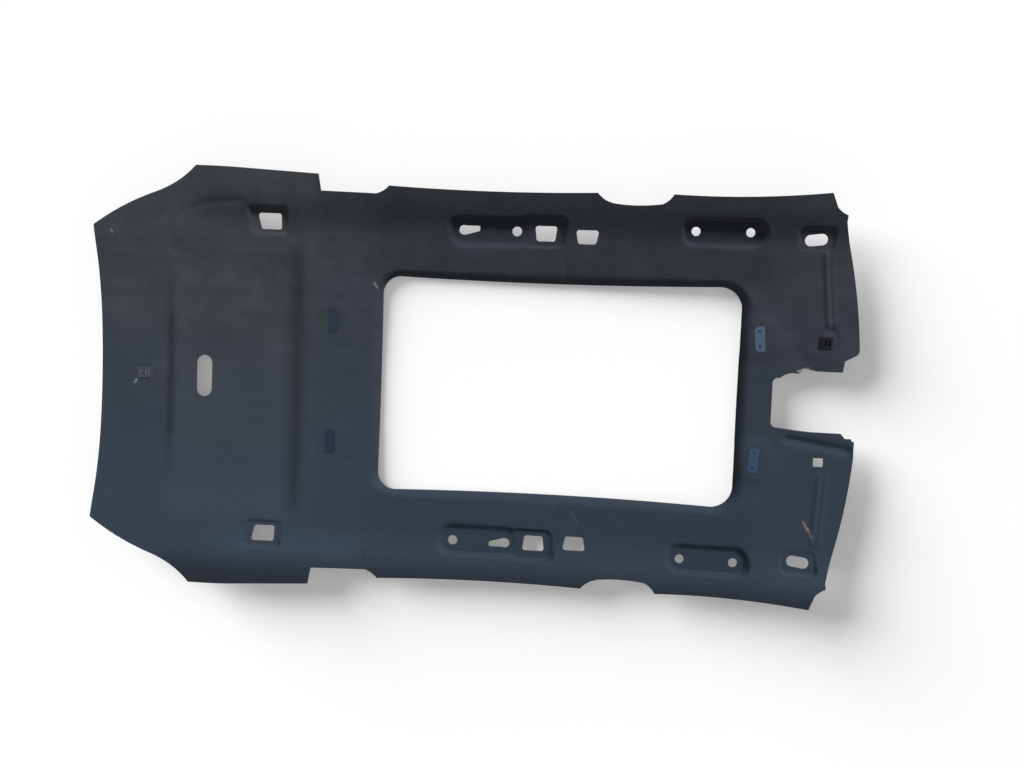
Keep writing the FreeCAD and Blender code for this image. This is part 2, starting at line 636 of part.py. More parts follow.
def fixing_plate(label, spot):
    """Flat two-hole plate: one sketch with its holes, padded."""
    body = doc.addObject("PartDesign::Body", label)
    sketch = body.newObject("Sketcher::SketchObject", label + "_plan")
    plane = [f for f in body.Origin.OriginFeatures if f.Role == "XY_Plane"][0]
    sketch.AttachmentSupport = (plane, [""])
    sketch.MapMode = "FlatFace"
    points = plate_points(0.0)
    count = len(points)
    for i in range(count):
        sketch.addGeometry(Part.LineSegment(points[i], points[(i + 1) % count]), False)
    for i in range(count):
        sketch.addConstraint(Sketcher.Constraint("Coincident", i, 2, (i + 1) % count, 1))
    for line in (0, 4):
        sketch.addConstraint(Sketcher.Constraint("Horizontal", line))
    for line in (2, 5):
        sketch.addConstraint(Sketcher.Constraint("Vertical", line))

    def sized(kind, *where):
        number = sketch.addConstraint(Sketcher.Constraint(kind, *where[:-2], float(where[-2])))
        sketch.setExpression("Constraints[%d]" % number, where[-1])

    sized("DistanceX", 0, 1, -1, 1, v["plate_width"] / 2, "Sizes.plate_width / 2")
    sized("DistanceY", 0, 1, -1, 1, v["plate_length"] / 2, "Sizes.plate_length / 2")
    sized("DistanceX", 0, 1, 1, 2, v["plate_width"], "Sizes.plate_width")
    sized("DistanceY", 0, 1, 5, 1, v["plate_length"], "Sizes.plate_length")
    sized("DistanceX", 0, 2, 1, 2, v["plate_chamfer"], "Sizes.plate_chamfer")
    sized("DistanceY", 0, 2, 1, 2, v["plate_chamfer"], "Sizes.plate_chamfer")
    sized("DistanceX", 3, 2, 3, 1, v["plate_chamfer"], "Sizes.plate_chamfer")
    sized("DistanceY", 3, 1, 3, 2, v["plate_chamfer"], "Sizes.plate_chamfer")
    radius = v["plate_hole_diameter"] / 2
    offset = v["plate_hole_spacing"] / 2
    for end in (-1, 1):
        circle = Part.Circle(Vector(0, end * offset, 0), Vector(0, 0, 1), radius)
        hole = sketch.addGeometry(circle, False)
        sized("Diameter", hole, v["plate_hole_diameter"], "Sizes.plate_hole_diameter")
        sketch.addConstraint(Sketcher.Constraint("PointOnObject", hole, 3, -2))
        ends = (hole, 3, -1, 1) if end < 0 else (-1, 1, hole, 3)
        sized("DistanceY", *ends, offset, "Sizes.plate_hole_spacing / 2")
    doc.recompute()
    pad = body.newObject("PartDesign::Pad", label + "_pad")
    pad.Profile = sketch
    bind(pad, Length="Sizes.plate_thickness")
    sketch.Visibility = False
    body.Placement = rest * spot
    return body


def box(name, length, width, height, base, x="0", y="0"):
    """Part::Box centred on its own X and Y (moved by x, y), standing on base; sizes are expressions."""
    item = doc.addObject("Part::Box", name)
    bind(item, Length=length, Width=width, Height=height)
    item.setExpression("Placement.Base.x", "%s - (%s) / 2" % (x, length))
    item.setExpression("Placement.Base.y", "%s - (%s) / 2" % (y, width))
    item.setExpression("Placement.Base.z", base)
    return item


def fuse(name, *shapes):
    item = doc.addObject("Part::MultiFuse", name)
    item.Shapes = list(shapes)
    return item


def cut(name, base, tool):
    item = doc.addObject("Part::Cut", name)
    item.Base = base
    item.Tool = tool
    return item


for label, spot in PLATES.items():
    fixing_plate(label, spot)

# visor hook clip: flange, plug through the panel, open well with a bar across it
plug_length = "Sizes.hook_hole_length - 2 * Sizes.seat_clearance"
plug_width = "Sizes.hook_hole_width - 2 * Sizes.seat_clearance"
plug_drop = "(Sizes.panel_thickness + Sizes.plug_proud)"
hook_flange = box("hook_flange", "Sizes.hook_flange_length", "Sizes.hook_flange_width",
                  "Sizes.hook_flange_thickness", "0")
hook_shell = box("hook_shell", plug_length, plug_width,
                 plug_drop + " + Sizes.hook_flange_thickness + Sizes.hook_rim_height", "-" + plug_drop)
hook_solid = fuse("hook_solid", hook_flange, hook_shell)
hook_well = box("hook_well", plug_length + " - 2 * Sizes.hook_wall",
                plug_width + " - 2 * Sizes.hook_wall", "Sizes.cut_reach",
                "Sizes.hook_floor - " + plug_drop)
hook_cup = cut("hook_cup", hook_solid, hook_well)
hook_bar = box("hook_bar", "Sizes.hook_bar_width", plug_width + " - Sizes.hook_wall",
               "Sizes.hook_bar_height", "Sizes.hook_flange_thickness - Sizes.hook_bar_height / 2",
               x="Sizes.hook_bar_offset")
hook_clip = fuse("visor_hook_clip", hook_cup, hook_bar)
hook_clip.Placement = rest * hook_spot

# rear clip: flange, raised body, plug through the panel, bore down the middle
clip_flange = box("clip_flange", "Sizes.rear_clip_length", "Sizes.rear_clip_width",
                  "Sizes.rear_clip_flange", "0")
clip_body = box("clip_body", "Sizes.rear_clip_body_length", "Sizes.rear_clip_body_width",
                "Sizes.rear_clip_body_height", "Sizes.rear_clip_flange")
clip_plug = box("clip_plug", "Sizes.rear_clip_hole_length - 2 * Sizes.seat_clearance",
                "Sizes.rear_clip_hole_width - 2 * Sizes.seat_clearance", plug_drop,
                "-" + plug_drop)
clip_solid = fuse("clip_solid", clip_flange, clip_body, clip_plug)
clip_bore = doc.addObject("Part::Cylinder", "clip_bore")
bind(clip_bore, Radius="Sizes.rear_clip_bore / 2", Height="2 * Sizes.cut_reach")
clip_bore.setExpression("Placement.Base.z", "-Sizes.cut_reach")
rear_clip = cut("rear_clip", clip_solid, clip_bore)
rear_clip.Placement = rest * clip_spot

# checks, then one file for each piece
doc.recompute()
NODES = ["headliner_panel", *PLATES, "visor_hook_clip", "rear_clip"]
for item in doc.Objects:
    bad = [state for state in item.State if state in ("Invalid", "Error")]
    if bad:
        raise RuntimeError("%s is %s" % (item.Name, bad))
for name in NODES:
    shape = doc.getObject(name).Shape
    if shape.isNull() or not shape.isValid() or len(shape.Solids) != 1:
        raise RuntimeError(name + " has no single valid solid")
os.makedirs("parts", exist_ok=True)
for name in NODES:
    item = doc.getObject(name)
    item.Label = name
    item.Shape.exportStep(os.path.join("parts", name + ".step"))
    print("%-26s %10.0f mm3" % (name, item.Shape.Volume))
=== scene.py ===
import bpy
import numpy as np
from mathutils import Matrix, Vector


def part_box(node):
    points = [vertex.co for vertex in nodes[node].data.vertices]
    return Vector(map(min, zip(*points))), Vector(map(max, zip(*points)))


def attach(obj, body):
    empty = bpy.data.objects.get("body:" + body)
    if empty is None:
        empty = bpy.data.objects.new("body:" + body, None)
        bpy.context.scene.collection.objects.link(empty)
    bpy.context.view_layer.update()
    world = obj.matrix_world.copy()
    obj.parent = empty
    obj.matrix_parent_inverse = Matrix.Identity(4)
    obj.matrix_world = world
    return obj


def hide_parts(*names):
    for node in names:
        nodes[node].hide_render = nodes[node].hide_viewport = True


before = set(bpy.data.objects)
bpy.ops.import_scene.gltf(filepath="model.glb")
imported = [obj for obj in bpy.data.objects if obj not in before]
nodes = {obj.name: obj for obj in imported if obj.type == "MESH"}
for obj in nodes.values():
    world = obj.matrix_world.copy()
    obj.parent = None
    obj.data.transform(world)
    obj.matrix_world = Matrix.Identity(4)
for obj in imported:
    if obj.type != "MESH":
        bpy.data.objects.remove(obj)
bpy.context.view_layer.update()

# ---------------------------------------------------------------- headliner board: the moulded face
# One board of foam and fibre, pressed to shape and faced with charcoal knit. This section gives the height of
# its cabin face at any place: the crown, the bend up to the side rails, the two steps of the rear field, the
# mound round the rear clip, the recesses and the ribs. Lengths are in millimetres about the drawing's origin.
MM = 0.001
board_thickness = 5.0
crown_radius_rear, crown_radius_front, crown_radius_across = 11000.0, 8000.0, 4200.0
# the bend up to each side rail: its rise, its start and run off the centre line, its rear end and growth along X
side_rise, side_start, side_run, side_rear_end, side_growth = 24.0, 392, 74, -790, 220
# the two steps of the rear: how far each sinks the face, then its place, run, half width and fade to the sides
field_sink, field_step = 7.0, (-440, 50, 352, 60)
lip_sink, lip_step = 6.0, (-778, 34, 250, 220)
mound_height, mound_x, mound_half_length, mound_half_width = 6.0, -865, 60, 120


def smooth(t):
    """An even S from 0 to 1: 6 t^5 - 15 t^4 + 10 t^3."""
    t = np.clip(t, 0.0, 1.0)
    return t * t * t * (t * (6 * t - 15) + 10)


def stepped(x, side, at, run, half_width, fade):
    """1 behind a step and 0 ahead of it, by an S over its run, times an S that fades it out to the sides."""
    return (1 - smooth((x - at) / run + 0.5)) * (1 - smooth((side - half_width) / fade + 0.5))


def crown_and_bends(x, y):
    """Two long arcs across each other, plus an S up to each side rail, less the sunk rear field and rear lip, plus
    the bell of the mound."""
    side = np.abs(y)
    crown = x * x / (2 * np.where(x < 0, crown_radius_rear, crown_radius_front))
    crown = crown + y * y / (2 * crown_radius_across)
    bend = side_rise * smooth((x - side_rear_end) / side_growth) * smooth((side - side_start) / side_run)
    sunk = field_sink * stepped(x, side, *field_step) + lip_sink * stepped(x, side, *lip_step)
    mound = mound_height * np.exp(-((y / mound_half_width) ** 2) - ((x - mound_x) / mound_half_length) ** 2)
    return crown + bend - sunk + mound


# the seated face is a cubic surface with its knots at these places, closer together at the steps and the bends
length_knots = np.array([-1015, -865, -795, -778, -761, -609, -465, -440, -415, -253.75, 101.5, 548.1, 1015], float)
bend_knots = side_start + side_run / 2 + side_run * np.array([-0.65, -0.3, 0, 0.3, 0.65])
half_knots = np.concatenate([[156.8, 313.6], bend_knots, [568.0]])
width_knots = np.concatenate([-half_knots[::-1], half_knots])


def clamped(knots):
    """The knots with the first and last ones four times over."""
    return np.concatenate([[knots[0]] * 3, knots, [knots[-1]] * 3])


def pole_places(knots):
    """Mean of each run of three neighbouring knots."""
    full = clamped(knots)
    return (full[1:-3] + full[2:-2] + full[3:-1]) / 3


def pole_shares(knots, at):
    """How much each pole of a cubic through these knots counts at each place, by the Cox-de Boor ramps."""
    full = clamped(knots)
    at = np.clip(at, knots[0], knots[-1] - 1e-6)[:, None]
    share = ((at >= full[:-1]) & (at < full[1:])).astype(float)
    for degree in (1, 2, 3):
        wide = full[degree:] - full[:-degree]
        wide[wide == 0] = np.inf
        rise = (at - full[: -degree - 1]) / wide[:-1]
        fall = (full[degree + 1 :] - at) / wide[1:]
        share = rise * share[:, :-1] + fall * share[:, 1:]
    return share


pole_heights = crown_and_bends(pole_places(length_knots)[:, None], pole_places(width_knots)[None, :])


def plain_face(x, y):
    """Cubic surface over the poles: the sum of pole heights by their shares along X and along Y."""
    x, y = np.broadcast_arrays(np.asarray(x, float), np.asarray(y, float))
    along = pole_shares(length_knots, x.ravel())
    across = pole_shares(width_knots, y.ravel())
    return ((along @ pole_heights) * across).sum(1).reshape(x.shape)


# places of the plates and clips: within the first distance the face is the cubic one that they are seated in, and
# over the second it changes to the crisp one
FITTINGS = [(-355, 159), (-355, -159), (734, 153), (734, -153), (891, 149), (-850, 0)]
fitting_clear, fitting_fade = 30.0, 45.0
# the steps as tight as the tool pressed them: sink and step as above, the tight place, run, half width and fade,
# and the heights of the swell above and of the trough below, which both reach over a share of the run
CRISP_STEPS = [
    (field_sink, field_step, (-448, 40, 325, 150), 4.5, 4.0),
    (lip_sink, lip_step, (-784, 24, 250, 220), 3.0, 3.0),
]
swell_share = 0.8
wide_side_start, wide_side_run = 368, 132


def crisp_form(x, y):
    """What the crisp face adds to the cubic one: the same crown and bends unsmoothed, each step over its tight run
    with a bell ahead of it and one less behind it, and the side bend over a wider run."""
    side = np.abs(y)
    extra = crown_and_bends(x, y) - plain_face(x, y)
    for sink, loose, tight, swell, trough in CRISP_STEPS:
        at, run, half_width, fade = tight
        spread = swell_share * run
        reach = 1 - smooth((side - half_width) / fade + 0.5)
        ahead = swell * np.exp(-(((x - at - spread) / spread) ** 2))
        behind = trough * np.exp(-(((x - at + spread) / spread) ** 2))
        extra = extra - sink * (stepped(x, side, *tight) - stepped(x, side, *loose)) + reach * (ahead - behind)
    wider = smooth((side - wide_side_start) / wide_side_run) - smooth((side - side_start) / side_run)
    extra = extra + side_rise * smooth((x - side_rear_end) / side_growth) * wider
    for place_x, place_y in FITTINGS:
        off = np.hypot(x - place_x, y - place_y)
        extra = extra * smooth((off - fitting_clear) / fitting_fade)
    return extra


# recesses: middle x, distance from the centre line, floor length, floor width, depth, corner radius,
# run of the end walls, of the inboard wall and of the outboard wall, rounding of the rim
RECESSES = {
    "rear handle": (46, 404, 184, 55, 14, 20, 16, 25, 7, 3.0),
    "lamp": (183, 404, 92, 66, 11, 14, 16, 14, 7, 2.5),
    "front handle": (631, 416, 178, 50, 14, 20, 16, 25, 7, 3.0),
    "visor": (852, 400, 76, 48, 4, 10, 6, 6, 6, 1.5),
    "belt": (-524, 407, 84, 58, 5, 8, 6, 6, 6, 1.5),
}
# a pan's rim lies in the face's plane no further out than this; above the rim its walls lean by a share of their run;
# its corners grow by a share of that run; and a share of the climb is even, the rest an S
rim_limit, upper_lean, corner_growth, even_share = 382.0, 0.15, 0.9, 0.45
highest_share, halvings = 30.0, 22
recess_margin = 60


def recess_height(x, y, middle, from_centre, length, width, depth, radius, ends, inner, outer, side, wall=0.0):
    """Height of a pan: the floor, plus the depth by the share of the way up its leaning walls. The share is found by
    halving: the rounded box that grows with it passes through the place. Above the rim the walls stand steeper."""
    rim_y = side * min(from_centre, rim_limit)
    base = plain_face(middle, rim_y)
    slope_x = (plain_face(middle + 1, rim_y) - plain_face(middle - 1, rim_y)) / 2
    slope_y = (plain_face(middle, rim_y + 1) - plain_face(middle, rim_y - 1)) / 2
    plane = base + slope_x * (x - middle) + slope_y * (y - rim_y)
    ahead = np.abs(x - middle)
    out = side * y - from_centre
    low, high = np.zeros_like(plane), np.full_like(plane, highest_share)
    for _ in range(halvings):
        share = (low + high) / 2
        spread = np.minimum(share, 1) + upper_lean * np.maximum(share - 1, 0)
        half_long = length / 2 + ends * spread + wall
        half_wide = width / 2 + (inner + outer) / 2 * spread + wall
        turn = radius + wall + spread * min(ends, inner) * corner_growth
        over_x = ahead - half_long + turn
        over_y = np.abs(out - (outer - inner) / 2 * spread) - half_wide + turn
        reach = np.hypot(np.maximum(over_x, 0), np.maximum(over_y, 0))
        reach += np.minimum(np.maximum(over_x, over_y), 0) - turn
        low, high = np.where(reach > 0, share, low), np.where(reach > 0, high, share)
    share = (low + high) / 2
    rise = np.where(share < 1, even_share * share + (1 - even_share) * smooth(share), share)
    return plane - depth - wall + depth * rise


def soft_lower(a, b, rounding):
    """The lower of two heights, with the corner between them rounded off."""
    mix = np.clip(0.5 + 0.5 * (b - a) / rounding, 0, 1)
    return a * mix + b * (1 - mix) - rounding * mix * (1 - mix)


def beside_line(x, y, points):
    """Distance to a line through the points: the least of the distances to its straight runs."""
    points = np.array(points, float)
    best = np.full(np.shape(x), np.inf)
    for start, stop in zip(points, points[1:]):
        along = stop - start
        t = np.clip(((x - start[0]) * along[0] + (y - start[1]) * along[1]) / (along @ along), 0, 1)
        best = np.minimum(best, np.hypot(x - start[0] - t * along[0], y - start[1] - t * along[1]))
    return best


# ridges (+) and grooves (-) pressed or bent into the face: line, half width, height
RIDGES = [
    ([(876, 366), (895, 190)], 6.5, 3.6),
    ([(892, 366), (911, 190), (924, 168)], 5.5, 1.4),
    ([(895, -185), (883, -350)], 6.5, 3.0),
    ([(911, -185), (898, -350)], 5.5, 2.0),
    ([(815, -95), (880, -104), (956, -116)], 11.0, -6.0),
    ([(899, 181), (909, 181)], 9.0, -3.5),
    ([(-590, 452), (-682, 446), (-738, 428), (-768, 395), (-780, 330)], 7.0, -2.4),
    ([(242, 274), (242, 330)], 10.0, -1.6),
    ([(242, -274), (242, -330)], 10.0, -1.2),
]


# roof opening: half its length and width, its middle, the inward bow of its long sides, its rear and front corners
opening_half_length, opening_half_width, opening_middle = 461.0, 280.5, 230.5
opening_side_bow = 6.0
opening_radii = {-1: 46.0, 1: 56.0}
mean_half_width, mean_radius = opening_half_width - 2 / 3 * opening_side_bow, 52.0
# the dip that leads down to the lip: its depth, how far off the edge it begins, and its run
dip_depth, dip_reach, dip_run = 4.8, 25.0, 22.0


def off_edge(x, y):
    """Distance outside the roof opening, taken as a rounded box with its mean half width and corner radius."""
    over_x = np.abs(x - opening_middle) - opening_half_length + mean_radius
    over_y = np.abs(y) - mean_half_width + mean_radius
    outside = np.hypot(np.maximum(over_x, 0), np.maximum(over_y, 0))
    return outside + np.minimum(np.maximum(over_x, over_y), 0) - mean_radius


def relief(x, y):
    """The crisp form, less an S that dips to the rolled lip, plus a bell across each ridge's line."""
    total = crisp_form(x, y) - dip_depth * smooth((dip_reach - off_edge(x, y)) / dip_run)
    for line, half_width, height in RIDGES:
        total = total + height * np.exp(-((beside_line(x, y, line) / half_width) ** 2))
    return total


def cabin_face(x, y, wall=0.0):
    """The plain face with its relief, lowered into the recesses; wall > 0 gives the back, that far off square to
    the face."""
    slope_x = (plain_face(x + 1, y) - plain_face(x - 1, y)) / 2
    slope_y = (plain_face(x, y + 1) - plain_face(x, y - 1)) / 2
    height = plain_face(x, y) + relief(x, y) - wall * np.sqrt(1 + slope_x**2 + slope_y**2)
    for middle, from_centre, length, width, depth, radius, ends, inner, outer, rounding in RECESSES.values():
        near = np.abs(x - middle) < length / 2 + recess_margin
        near &= np.abs(np.abs(y) - from_centre) < width / 2 + recess_margin
        for side in (1, -1):
            here = near & (side * y > 0)
            pan = recess_height(x[here], y[here], middle, from_centre, length, width, depth, radius,
                                ends, inner, outer, side, wall)
            height[here] = soft_lower(height[here], pan, rounding)
    return height


# ---------------------------------------------------------------- headliner board: outline, lip and edge
# The board is one closed ring of surface: out from the roof opening across the face to the trim line, round
# the cut edge, back along the hidden side, and up round the rolled lip of the opening. Each line of the ring
# runs from a place on the opening to a place on the trim line, and the two places are paired in TRIM_LINE.
def arc_run(start, stop, bulge, pitch):
    """Places along the arc that stands out to the left of start-stop by bulge; the last one is left out."""
    start, stop = np.array(start, float), np.array(stop, float)
    along = stop - start
    chord = np.hypot(*along)
    count = max(1, int(np.ceil(chord / pitch)))
    t = np.arange(count) / count
    if abs(bulge) < 1e-6:
        return start + t[:, None] * along
    radius = (chord**2 / 4 + bulge**2) / (2 * abs(bulge))
    sweep = 2 * np.arcsin(min(1.0, chord / 2 / radius))
    angle = sweep * (t - 0.5)
    ahead = np.sin(angle) * radius
    out = (np.cos(angle) - np.cos(sweep / 2)) * radius * np.sign(bulge)
    left = np.array([-along[1], along[0]]) / chord
    return (start + stop) / 2 + ahead[:, None] * along / chord + out[:, None] * left


# one side from the rear corner forward: x, y, bulge of the run that follows, its pitch, the opening's place, and
# the direction in which lines reach the trim there, in degrees from +X towards +Y
SIDE = [
    (-975, 380, 6, 7, (-230, 175), 150),
    (-822, 466, -7, 7, (-230, 220), 120),
    (-706, 538, 0, 7, (-226, 248), 98),
    (-390, 525, 0, 3, (-214, 265), 80),
    (-384, 484, 0, 7, (-186, 280), 102),
    (-244, 482, -3, 5, (-150, 278), 90),
    (-211, 502, -5, 4, (-140, 278), 90),
    (314, 499, -2, 4, (300, 275), 90),
    (341, 479, 0, 4, (335, 275), 90),
    (354, 475, -4, 5, (352, 275), 90),
    (474, 475, -3, 4, (474, 276), 90),
    (501, 499, -7, 4, (505, 276), 90),
    (873, 508, 0, 3, (615, 279), 64),
    (887, 475, -2, 3, (640, 274), 56),
    (914, 457, 0, 4, (662, 258), 46),
    (914, 442, 9, 5, (671, 246), 36),
]
RIGHT_FRONT = [
    (973, 131, 0, 4, (684.5, 180), 0),
    (969, 122, 0, 4, (684.5, 172), -3),
    (941, 106, 0, 4, (684.5, 163), -8),
    (937, 78, 0, 4, (684.5, 150), -18),
    (879, 78, 0, 4, (684.5, 128), -28),
    (846, 84, 0, 4, (684.5, 115), -30),
    (833, 70, -6, 5, (684.5, 101), -28),
    (790, 58, -7, 4, (684.5, 66), -15),
    (773, 40, 0, 5, (684.5, 46), 0),
]
LEFT_FRONT = [
    (773, -48, -7, 4, (684.5, -54), 0),
    (790, -67, -1, 5, (684.5, -74), 15),
    (875, -74, 0, 5, (684.5, -108), 22),
    (941, -74, 0, 4, (684.5, -126), 16),
    (951, -86, 0, 4, (684.5, -144), 12),
    (965, -86, -2, 3, (684.5, -158), 9),
    (973, -93, 0, 4, (684.5, -166), 5),
    (973, -131, 9, 5, (684.5, -180), 0),
]
TRIM_LINE = SIDE + RIGHT_FRONT + LEFT_FRONT
for (x, y, _, _, (near_x, near_y), reach), (_, _, bulge, pitch, _, _) in zip(SIDE[:0:-1], SIDE[-2::-1]):
    TRIM_LINE.append((x, -y, bulge, pitch, (near_x, -near_y), -reach))
TRIM_LINE.append((-975, -380, -12, 8, (-230, -175), -150))

# the bow is left out within this distance of the corners' width
bow_margin = 8


def opening_loop(count):
    """Even places round the roof opening, from the middle of its rear side over the right side, with the
    direction away from it at each: straight ends, rounded corners, and long sides that bow inward."""
    parts = []
    for end, side in ((-1, 1), (1, 1), (1, -1), (-1, -1)):
        radius = opening_radii[end]
        centre = np.array([opening_middle + end * (opening_half_length - radius),
                           side * (opening_half_width - radius)])
        first = {(-1, 1): 180, (1, 1): 90, (1, -1): 0, (-1, -1): -90}[(end, side)]
        angle = np.radians(first - np.linspace(0, 90, 60))
        parts.append(centre + radius * np.stack([np.cos(angle), np.sin(angle)], 1))
    rough = np.concatenate([[[opening_middle - opening_half_length, 0.0]], *parts])
    rough = np.concatenate([rough, rough[:1]])
    length = np.concatenate([[0], np.cumsum(np.hypot(*np.diff(rough, axis=0).T))])
    at = np.linspace(0, length[-1], count, endpoint=False)
    loop = np.stack([np.interp(at, length, rough[:, 0]), np.interp(at, length, rough[:, 1])], 1)
    ahead = np.roll(loop, -1, 0) - np.roll(loop, 1, 0)
    ahead /= np.hypot(*ahead.T)[:, None]
    away = np.stack([-ahead[:, 1], ahead[:, 0]], 1)
    start = opening_middle - opening_half_length + opening_radii[-1]
    stop = opening_middle + opening_half_length - opening_radii[1]
    middle, half = (start + stop) / 2, (stop - start) / 2
    bow = opening_side_bow * np.clip(1 - ((loop[:, 0] - middle) / half) ** 2, 0, 1)
    loop[:, 1] -= np.sign(loop[:, 1]) * bow * (np.abs(loop[:, 1]) > opening_half_width - bow_margin)
    return loop, away


loop_count = 6000
loop, loop_away = opening_loop(loop_count)
trim, spokes, arrivals = [], [], []
for here, after in zip(TRIM_LINE, TRIM_LINE[1:] + TRIM_LINE[:1]):
    run = arc_run(here[:2], after[:2], here[2], here[3])
    ends = [np.argmin(np.hypot(*(loop - place[4]).T)) for place in (here, after)]
    if ends[1] < ends[0] - loop_count / 2:
        ends[1] += loop_count
    trim.append(run)
    spokes.append(np.linspace(ends[0], ends[1], len(run), endpoint=False))
    last = after[5] if after[5] - here[5] < 180 else after[5] - 360
    arrivals.append(np.radians(np.linspace(here[5], last, len(run), endpoint=False)))
trim = np.concatenate(trim)
spokes = np.concatenate(spokes)
arrivals = np.concatenate(arrivals)
lines = len(trim)


def evened(row, around, window):
    """Mean over the neighbours on a row that goes on from its end, around further, at its start."""
    spread = np.concatenate([row[-window:] - around, row, row[:window] + around])
    return np.convolve(spread, np.ones(2 * window + 1) / (2 * window + 1), "valid")


def round_the_loop(rows):
    """Those rows of the opening's loop at the places in spokes, in between by straight shares."""
    closed = np.concatenate([rows, rows[:1]])
    return np.stack([np.interp(spokes, np.arange(loop_count + 1), closed[:, k]) for k in (0, 1)], 1)


# over how many neighbours the lines' places on the opening, their directions at the trim and their bends are evened
spoke_window, arrival_window, elbow_window = 9, 4, 14
spokes = evened(spokes, loop_count, spoke_window) % loop_count
arrive = np.stack([evened(np.cos(arrivals), 0, arrival_window), evened(np.sin(arrivals), 0, arrival_window)], 1)
inner = round_the_loop(loop)
away = round_the_loop(loop_away)
away /= np.hypot(*away.T)[:, None]

roll_radius, lip_depth, edge_rounding = 17.0, 25.0, 1.2
face_rows, back_rows, samples = 44, 16, 160
# rows lie this far apart where the face is flat, and closer by the pull times the root of its curvature
flat_spacing, face_pull, back_pull = 26.0, 1.3, 0.75
ahead = np.roll(trim, -1, 0) - np.roll(trim, 1, 0)
ahead /= np.hypot(*ahead.T)[:, None]
trim_away = np.stack([-ahead[:, 1], ahead[:, 0]], 1)
root = inner + away * roll_radius
tip = trim - trim_away * edge_rounding
elbow = tip - arrive * (0.5 * np.hypot(*(tip - root).T)[:, None])
elbow = np.stack([evened(elbow[:, k], 0, elbow_window) for k in (0, 1)], 1)


def on_way(shares):
    """Places at those shares of each line, an arc that leaves the root, bends at the elbow and ends at the tip."""
    t = shares[..., None]
    return (1 - t) ** 2 * root[:, None, :] + 2 * t * (1 - t) * elbow[:, None, :] + t**2 * tip[:, None, :]


def rows_where_it_bends(count, pull):
    """Shares of the way from root to tip, closer together where the face curves more: even steps of the sum of
    a base density and the root of the second difference of height."""
    t = np.linspace(0, 1, samples)
    at = on_way(np.tile(t, (lines, 1)))
    height = cabin_face(at[..., 0], at[..., 1])
    step = np.hypot(*np.moveaxis(np.diff(at, axis=1), 2, 0))
    curve = np.abs(np.diff(height, 2, axis=1)) / (step[:, 1:] * step[:, :-1])
    density = (1 / flat_spacing + pull * np.sqrt(curve)) * (step[:, 1:] + step[:, :-1]) / 2
    density = np.pad(density, ((0, 0), (1, 1)), mode="edge")
    for shift in (1, 2, 4):
        density = (density + np.roll(density, shift, 0) + np.roll(density, -shift, 0)) / 3
    density[:, 1:-1] = (density[:, :-2] + density[:, 1:-1] + density[:, 2:]) / 3
    total = np.cumsum((density[:, 1:] + density[:, :-1]) / 2, axis=1)
    total = np.pad(total / total[:, -1:], ((0, 0), (1, 0)))
    offset = 2.0 * np.arange(lines)[:, None]
    wanted = offset + np.linspace(0, 1, count)[None, :]
    shares = np.interp(wanted.ravel(), (offset + total).ravel(), np.tile(t, lines)).reshape(lines, count)
    shares[:, 0], shares[:, -1] = 0.0, 1.0
    return shares


def on_lines(shares, wall):
    """Places at those shares of each line, at the height of the face or of the back."""
    flat = on_way(shares)
    return np.concatenate([flat, cabin_face(flat[..., 0], flat[..., 1], wall)[..., None]], 2)


def off_opening(out, drop, height_at=cabin_face):
    """Rings at these distances off the opening's edge, this far below the face there."""
    flat = inner[:, None, :] + away[:, None, :] * np.array(out, float)[None, :, None]
    height = height_at(flat[..., 0], flat[..., 1]) - np.array(drop, float)[None, :]
    return np.concatenate([flat, height[..., None]], 2)


front = on_lines(rows_where_it_bends(face_rows, face_pull), 0.0)
back = on_lines(rows_where_it_bends(back_rows, back_pull)[:, ::-1], board_thickness)
edge_top = np.concatenate([trim, front[:, -1, 2:] - edge_rounding], 1)[:, None, :]
edge_low = np.concatenate([trim, back[:, 0, 2:] + edge_rounding], 1)[:, None, :]
turn = np.radians(np.linspace(0, 90, 5)[1:])
inner_roll = roll_radius - board_thickness
hidden_roll = off_opening(roll_radius - inner_roll * np.sin(turn), roll_radius - inner_roll * np.cos(turn))
lip_rounding = 1
lip_end = off_opening([board_thickness, board_thickness - lip_rounding, lip_rounding, 0],
                      [lip_depth - lip_rounding, lip_depth, lip_depth, lip_depth - lip_rounding], plain_face)
turn = np.radians(np.linspace(0, 90, 9)[:-1])
shown_roll = off_opening(roll_radius * (1 - np.cos(turn)), roll_radius * (1 - np.sin(turn)))
ring = np.concatenate([front, edge_top, edge_low, back, hidden_roll, lip_end, shown_roll], 1)
# the drawing's origin in the frame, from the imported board's rear end and its lowest place
board_low, board_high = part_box("headliner_panel")
to_frame = np.array([board_low.x - ring[..., 0].min() * MM, 0.0, board_low.z - ring[..., 2].min() * MM])


def closed_ring_mesh(name, points):
    """Quads over a grid of places that closes on itself both ways; faces point out."""
    count, rows = points.shape[:2]
    index = np.arange(count * rows).reshape(count, rows)
    right, up = np.roll(index, -1, 0), np.roll(index, -1, 1)
    faces = np.stack([index, right, np.roll(right, -1, 1), up], -1).reshape(-1, 4)
    mesh = bpy.data.meshes.new(name)
    mesh.vertices.add(count * rows)
    mesh.vertices.foreach_set("co", (points.reshape(-1, 3) * MM + to_frame).astype(np.float32).ravel())
    mesh.loops.add(faces.size)
    mesh.loops.foreach_set("vertex_index", faces.astype(np.int32).ravel())
    mesh.polygons.add(len(faces))
    mesh.polygons.foreach_set("loop_start", np.arange(0, faces.size, 4, dtype=np.int32))
    mesh.update(calc_edges=True)
    mesh.validate()
    return mesh


board = bpy.data.objects.new("board", closed_ring_mesh("board", ring))
bpy.context.scene.collection.objects.link(board)

# ---------------------------------------------------------------- headliner board: its holes
# The holes are punched after moulding: two bolt holes in each handle recess, one of them with a keyway, the
# lamp, socket, belt and visor holes on each side, the hook holes, the rear oval and the rear clip's slot.


